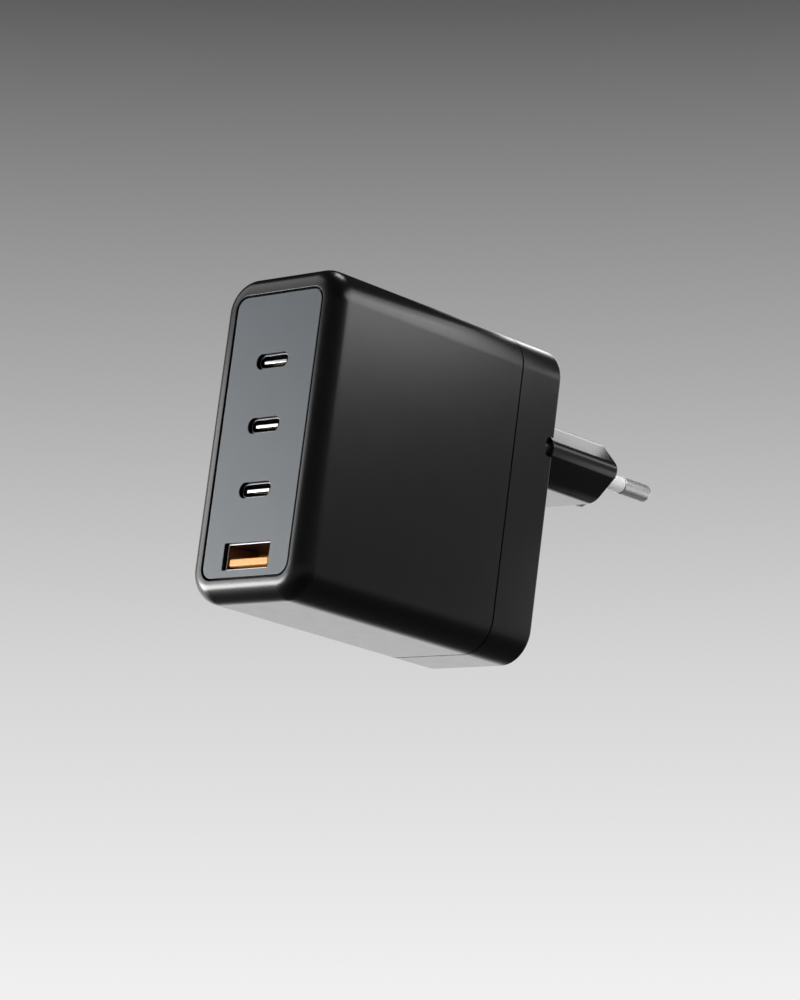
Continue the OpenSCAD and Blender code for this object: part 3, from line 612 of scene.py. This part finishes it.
usbCInsert = {
    "base": 3.6,           # block that closes the back of the shell
    "root": 1.2,           # thicker start of the tongue
    "rootW": 7.2,
    "rootT": 1.4,
    "tongueW": 6.7,
    "tongueT": 0.7,
    "forward": 0.7,        # how much nearer its mouth the tongue starts than its solid
    "plate": 0.35,         # steel edge of the tongue's middle plate
    "padCount": 12,
    "padPitch": 0.5,
    "padW": 0.26,
    "padRaise": 0.02,
    "padBack": 0.9,
    "padSink": 0.05,
    "padEdge": 0.015,
    "edge": 0.12,
    "sideEdge": 0.02,
}


def makeUsbC(i):
    z = usbCHeights[i]
    shell = "usb_c_shell_%d" % (i + 1)
    tongue = "usb_c_tongue_%d" % (i + 1)
    low, high = extent(shell)
    width, height = high.x - low.x, high.z - low.z
    makePortShell("usb_c_can_%d" % (i + 1), *stadium(width, height, z), shell)
    tongueLow, tongueHigh = extent(tongue)
    part = usbCInsert
    tip = tongueLow.y - part["forward"]
    slack = 2 * ports["sheet"] + ports["insertGap"]
    baseY = tongueHigh.y - part["base"]
    rootY = baseY - part["root"]
    bm = bmesh.new()
    outline, u = stadium(width - slack, height - slack, z)
    prism(bm, outline, u, baseY, tongueHigh.y, ports["insertEdge"])
    rootHalf, root = part["rootW"] / 2, part["rootT"] / 2
    half, thick = part["tongueW"] / 2, part["tongueT"] / 2
    plateEnd = tip + part["plate"]
    block(bm, -rootHalf, rootHalf, rootY, baseY + 0.01, z - root, z + root, part["edge"])
    block(bm, -half, half, plateEnd, rootY + 0.01, z - thick, z + thick, part["sideEdge"])
    finishPiece(toObject(bm, "usb_c_insert_%d" % (i + 1)), "tongue_black", tongue)
    bm = bmesh.new()
    block(bm, -half, half, tip, plateEnd, z - thick, z + thick, part["edge"])
    finishPiece(toObject(bm, "usb_c_plate_%d" % (i + 1)), "port_steel", look="plate_steel")
    bm = bmesh.new()
    for k in range(part["padCount"]):
        x = (k - (part["padCount"] - 1) / 2) * part["padPitch"]
        padHalf = part["padW"] / 2
        for side in (-1, 1):
            face = z + side * part["tongueT"] / 2
            z0, z1 = sorted((face - side * part["padSink"], face + side * part["padRaise"]))
            block(bm, x - padHalf, x + padHalf, tip + part["padBack"], rootY, z0, z1, part["padEdge"])
    finishPiece(toObject(bm, "usb_c_pads_%d" % (i + 1)), "contact_gold")


usbAInsert = {
    "base": 2,             # block that closes the back of the shell
    "baseRadius": 0.6,
    "forward": 1,          # how much nearer its mouth the tongue starts than its solid
    "tongueW": 11.8,
    "tongueT": 1.65,
    "nose": 0.4,           # rounding of the tongue's front
    "under": 0.6,          # from the shell's lower wall to the tongue
    "pitch": 2.5,
    "bladeW": 1,
    "bladeT": 0.2,
    "bladeStart": 1.2,     # from the tongue solid's front, as for the slots
    "slotStart": 1.1,
    "slotDepth": 0.4,
    "slotGap": 0.1,        # beside and below a blade
    "slotEdge": 0.01,
    "bowAt": 2.1,          # middle of a blade's bow, from its front
    "bowWidth": 0.9,
    "bowRise": 0.5,
    "bladeSteps": 32,
}


def makeUsbA():
    low, high = extent("usb_a_shell")
    radius = ports["usbARadius"]
    width, height = high.x - low.x, high.z - low.z
    outline = roundRect(width / 2 - radius, height / 2 - radius, 0, usbAHeight, 6)
    # Behind its lip this shell's steel carries painted shade and a painted reflection of the orange tongue
    makePortShell("usb_a_can", outline, radius, "usb_a_shell", "steel_painted_inner_shade")
    part = usbAInsert
    insertLow, insertHigh = extent("usb_a_tongue")
    baseY = insertHigh.y - part["base"]
    z0 = low.z + ports["sheet"] + part["under"]
    z1 = z0 + part["tongueT"]
    bm = bmesh.new()
    slack = ports["sheet"] + ports["insertGap"]
    baseRadius, nose = part["baseRadius"], part["nose"]
    baseOutline = roundRect(width / 2 - baseRadius, height / 2 - baseRadius, 0, usbAHeight, 4)
    prism(bm, baseOutline, baseRadius - slack, baseY, insertHigh.y, ports["insertEdge"])
    tongueMiddle = (z0 + z1) / 2
    tongueOutline = roundRect(part["tongueW"] / 2 - nose, part["tongueT"] / 2 - nose, 0, tongueMiddle, 6)
    tip = insertLow.y - part["forward"]
    profile = [(0.02, tip), (nose, tip, nose * 0.9), (nose, baseY + 0.01)]
    carry(bm, tongueOutline, rounded(profile, False, 6)[1:])
    insert = toObject(bm, "usb_a_insert")
    slots = bmesh.new()
    blades = bmesh.new()
    slotFloor = z1 - part["slotDepth"]
    slotFront, bladeFront = insertLow.y + part["slotStart"], insertLow.y + part["bladeStart"]
    half = part["bladeW"] / 2 + part["slotGap"]
    for k in range(4):
        x = (k - 1.5) * part["pitch"]
        block(slots, x - half, x + half, slotFront, insertHigh.y + 1, slotFloor, z1 + 1, part["slotEdge"])
        makeBlade(blades, x, slotFloor + part["slotGap"], bladeFront, insertHigh.y)
    cutAway(insert, [toObject(slots, "slots")])
    finishPiece(insert, "tongue_orange", "usb_a_tongue")
    contacts = ["usb_a_contact_%d" % (k + 1) for k in range(4)]
    finishPiece(toObject(blades, "usb_a_blades"), "contact_gold", *contacts)


# Sprung strip of metal along Y with a bow in it
def makeBlade(bm, x, z, y0, y1):
    part = usbAInsert
    half, thick, steps = part["bladeW"] / 2, part["bladeT"], part["bladeSteps"]
    section = ((-half, 0), (half, 0), (half, thick), (-half, thick))
    rings = []
    for i in range(steps + 1):
        y = y0 + (y1 - y0) * i / steps
        bow = math.exp(-((y - y0 - part["bowAt"]) / part["bowWidth"]) ** 2)
        height = z + part["bowRise"] * bow
        rings.append([bm.verts.new(Vector((x + a, y, height + b)) * mm) for a, b in section])
    for ring, other in zip(rings, rings[1:]):
        for i in range(4):
            j = (i + 1) % 4
            bm.faces.new((ring[i], ring[j], other[j], other[i]))
    bm.faces.new(rings[0])
    bm.faces.new(rings[-1])


makeFacePanel()
for i in range(3):
    makeUsbC(i)
makeUsbA()
print("face and ports made")

# The parts inside keep their solids and get their finishes

for name, node in frame["nodes"].items():
    if not node.hide_render:
        node.data.materials.clear()
        node.data.materials.append(finish[slotOf[name]])

# Camera, floor, world and lamps

camera = {
    "place": (566.9, -536.1, -137.0),
    "azimuth": 46.21,      # degrees round +Z, 0 looks along +Y
    "elevation": -12.07,   # the camera is below and looks up
    "roll": 7.207,         # the charger leans to the right in the image
    "lens": 135.725,
    "sensor": 36,
    "nearest": 10,         # nothing closer than this shows
}


def makeCamera():
    a, e, r = (math.radians(camera[key]) for key in ("azimuth", "elevation", "roll"))
    back = Vector((math.sin(a) * math.cos(e), -math.cos(a) * math.cos(e), math.sin(e)))
    level = Vector((math.cos(a), math.sin(a), 0))
    upright = back.cross(level)
    right = level * math.cos(r) + upright * math.sin(r)
    up = back.cross(right)
    data = bpy.data.cameras.new("camera")
    data.sensor_width = camera["sensor"]
    data.lens = camera["lens"]
    data.clip_start = camera["nearest"] * mm
    view = bpy.data.objects.new("camera", data)
    turned = Matrix((right, up, back)).transposed().to_4x4()
    view.matrix_world = Matrix.Translation(Vector(camera["place"]) * mm) @ turned
    scene.collection.objects.link(view)
    scene.camera = view


studio = {
    "upright": (-0.085, -0.089, 0.992),   # way up of the backdrop's shading, leaning with the camera
    # Shades of the backdrop by height, the sine of the elevation
    "backdrop": ((-0.5, "#303030"), (-0.3, "#ffffff"), (-0.1, "#f8f8f8"), (0.08, "#f0f0f0"),
                 (0.165, "#d4d4d4"), (0.235, "#acacac"), (0.335, "#5b5b5b"), (0.45, "#565656")),
    "backdropEnds": (-0.5, 0.5),
    "litSide": (-0.72, 0.69, 0),
    # How strongly glossy surfaces mirror the backdrop: full on the lit side and faint on the other,
    # almost nothing of what is high up, and more of what is low
    "mirrored": (("side", (-0.05, 0.6), (0.12, 1.05)),
                 ("height", (0.28, 0.36), (1, 0.05)),
                 ("height", (-0.1, 0.15), (1.55, 1))),
    "ambient": 0.36,                      # plain soft light from all round
    "floorGlow": 0.3,                     # added for the camera only
    "floorHeight": -200,
    "floorHalf": 6000,
    "floorBlotch": 300,
}


# Pale floor below the camera, which only the camera and soft light see. Its underside is clear, so
# that nothing hides the charger from below, and it keeps the charger's soft shadow.
def makeFloor():
    bm = bmesh.new()
    bmesh.ops.create_grid(bm, x_segments=1, y_segments=1, size=studio["floorHalf"] * mm)
    floor = toObject(bm, "floor")
    floor.location.z = studio["floorHeight"] * mm
    matt = {"Roughness": 0.8, "Specular IOR Level": 0.1}
    material, tree, shader, place = startMaterial("pale_floor", matt)
    mixColour(tree, shader, place, blotches(tree, place, studio["floorBlotch"]), "#e6e6e6", "#ebebeb")
    rays = addNode(tree, "LightPath").outputs
    glow = addNode(tree, "Math", {"operation": "MULTIPLY"},
                   {0: rays["Is Camera Ray"], 1: studio["floorGlow"]})
    shader.inputs["Emission Color"].default_value = (1, 1, 1, 1)
    tree.links.new(glow.outputs[0], shader.inputs["Emission Strength"])
    clear = addNode(tree, "BsdfTransparent")
    geometry = addNode(tree, "NewGeometry")
    hidden = addNode(tree, "Math", {"operation": "MAXIMUM"},
                     {0: geometry.outputs["Backfacing"], 1: rays["Is Glossy Ray"]})
    mix = addNode(tree, "MixShader", {},
                  {0: hidden.outputs[0], 1: shader.outputs[0], 2: clear.outputs[0]})
    tree.links.new(mix.outputs[0], tree.nodes["Material Output"].inputs["Surface"])
    floor.data.materials.append(material)


def makeWorld():
    world = bpy.data.worlds.new("studio")
    scene.world = world
    world.use_nodes = True
    tree = world.node_tree
    direction = addNode(tree, "TexCoord").outputs["Generated"]
    sides = {}
    for name, axis in (("height", "upright"), ("side", "litSide")):
        product = addNode(tree, "VectorMath", {"operation": "DOT_PRODUCT"},
                          {0: direction, 1: studio[axis]})
        sides[name] = product.outputs["Value"]
    lowest, highest = studio["backdropEnds"]
    level = addNode(tree, "MapRange", {},
                    {"Value": sides["height"], "From Min": lowest, "From Max": highest})
    ramp = addNode(tree, "ValToRGB", {}, {0: level.outputs["Result"]})
    stops = ramp.color_ramp.elements
    while len(stops) < len(studio["backdrop"]):
        stops.new(1)
    for stop, (place, code) in zip(stops, studio["backdrop"]):
        stop.position = (place - lowest) / (highest - lowest)
        stop.color = rgb(code)
    strength = 1
    for name, (start, end), (first, last) in studio["mirrored"]:
        share = addNode(tree, "MapRange", {}, {"Value": sides[name], "From Min": start, "From Max": end,
                                               "To Min": first, "To Max": last})
        product = addNode(tree, "Math", {"operation": "MULTIPLY"},
                          {0: strength, 1: share.outputs["Result"]})
        strength = product.outputs[0]
    rays = addNode(tree, "LightPath").outputs
    seen = addNode(tree, "Background", {}, {"Color": ramp.outputs[0]})
    mirrored = addNode(tree, "Background", {}, {"Color": ramp.outputs[0], "Strength": strength})
    soft = addNode(tree, "Background", {}, {"Color": (1, 1, 1, 1), "Strength": studio["ambient"]})
    shiny = addNode(tree, "Math", {"operation": "MAXIMUM"},
                    {0: rays["Is Glossy Ray"], 1: rays["Is Transmission Ray"]})
    mix = addNode(tree, "MixShader", {},
                  {0: shiny.outputs[0], 1: soft.outputs[0], 2: mirrored.outputs[0]})
    mix = addNode(tree, "MixShader", {},
                  {0: rays["Is Camera Ray"], 1: mix.outputs[0], 2: seen.outputs[0]})
    tree.links.new(mix.outputs[0], tree.nodes["World Output"].inputs["Surface"])


# Soft boxes. Each has its middle, the point that it faces and its size, all in millimetres, the
# degrees that it is turned about its own axis, and its brightness, where 1 is white paper. The
# ceiling is a smaller box under a larger one, which gives its reflection a soft edge.
lamps = {
    "ceiling": {"at": (123.6, 49, 110), "to": (123.6, 49, 0), "size": (177, 128), "turn": 39, "glow": 1.7},
    "ceilingCore": {"at": (124, 49.3, 109), "to": (124, 49.3, 0), "size": (146, 102), "turn": 39, "glow": 2},
    "rearLeft": {"at": (-38, 81, 110), "to": (13, 20, 68), "size": (30, 24), "glow": 1.2},
    "neckTop": {"at": (-7, 71.3, 89.5), "to": (13, 44.5, 53), "size": (24, 38), "turn": -49, "glow": 2.5},
    "neckSide": {"at": (46, 88, 82), "to": (17, 47, 49), "size": (34, 14), "turn": -39, "glow": 2},
    "pinSide": {"at": (60, 113, 25), "to": (11, 66, 47), "size": (34, 44), "glow": 1.2},
    "pinLow": {"at": (-2, 124, -6), "to": (10, 66, 46), "size": (40, 40), "glow": 0.25},
    "lowFront": {"at": (-200, -190, -36), "to": (0, -34, 10), "size": (210, 70), "glow": 17},
    "frontLeft": {"at": (-220, -177, 58), "to": (0, -34, 35), "size": (250, 110), "glow": 3},
    "leftFill": {"at": (-407, -235, 340), "to": (0, 0, 35), "size": (380, 300), "glow": 1.2},
    "overhead": {"at": (-60, 120, 640), "to": (0, 0, 70), "size": (200, 200), "glow": 6},
}


def makeLamps():
    for name, lamp in lamps.items():
        place, aim = Vector(lamp["at"]), Vector(lamp["to"])
        data = bpy.data.lights.new(name, "AREA")
        data.shape = "RECTANGLE"
        data.size, data.size_y = (side * mm for side in lamp["size"])
        data.energy = lamp["glow"] * math.pi * data.size * data.size_y
        light = bpy.data.objects.new(name, data)
        light.location = place * mm
        turned = Quaternion((0, 0, 1), math.radians(lamp.get("turn", 0)))
        light.rotation_euler = ((place - aim).to_track_quat("Z", "Y") @ turned).to_euler()
        light.visible_camera = False
        scene.collection.objects.link(light)


makeCamera()
makeFloor()
makeWorld()
makeLamps()
scene.view_settings.view_transform = "Standard"
print("camera, floor, world and lamps made")
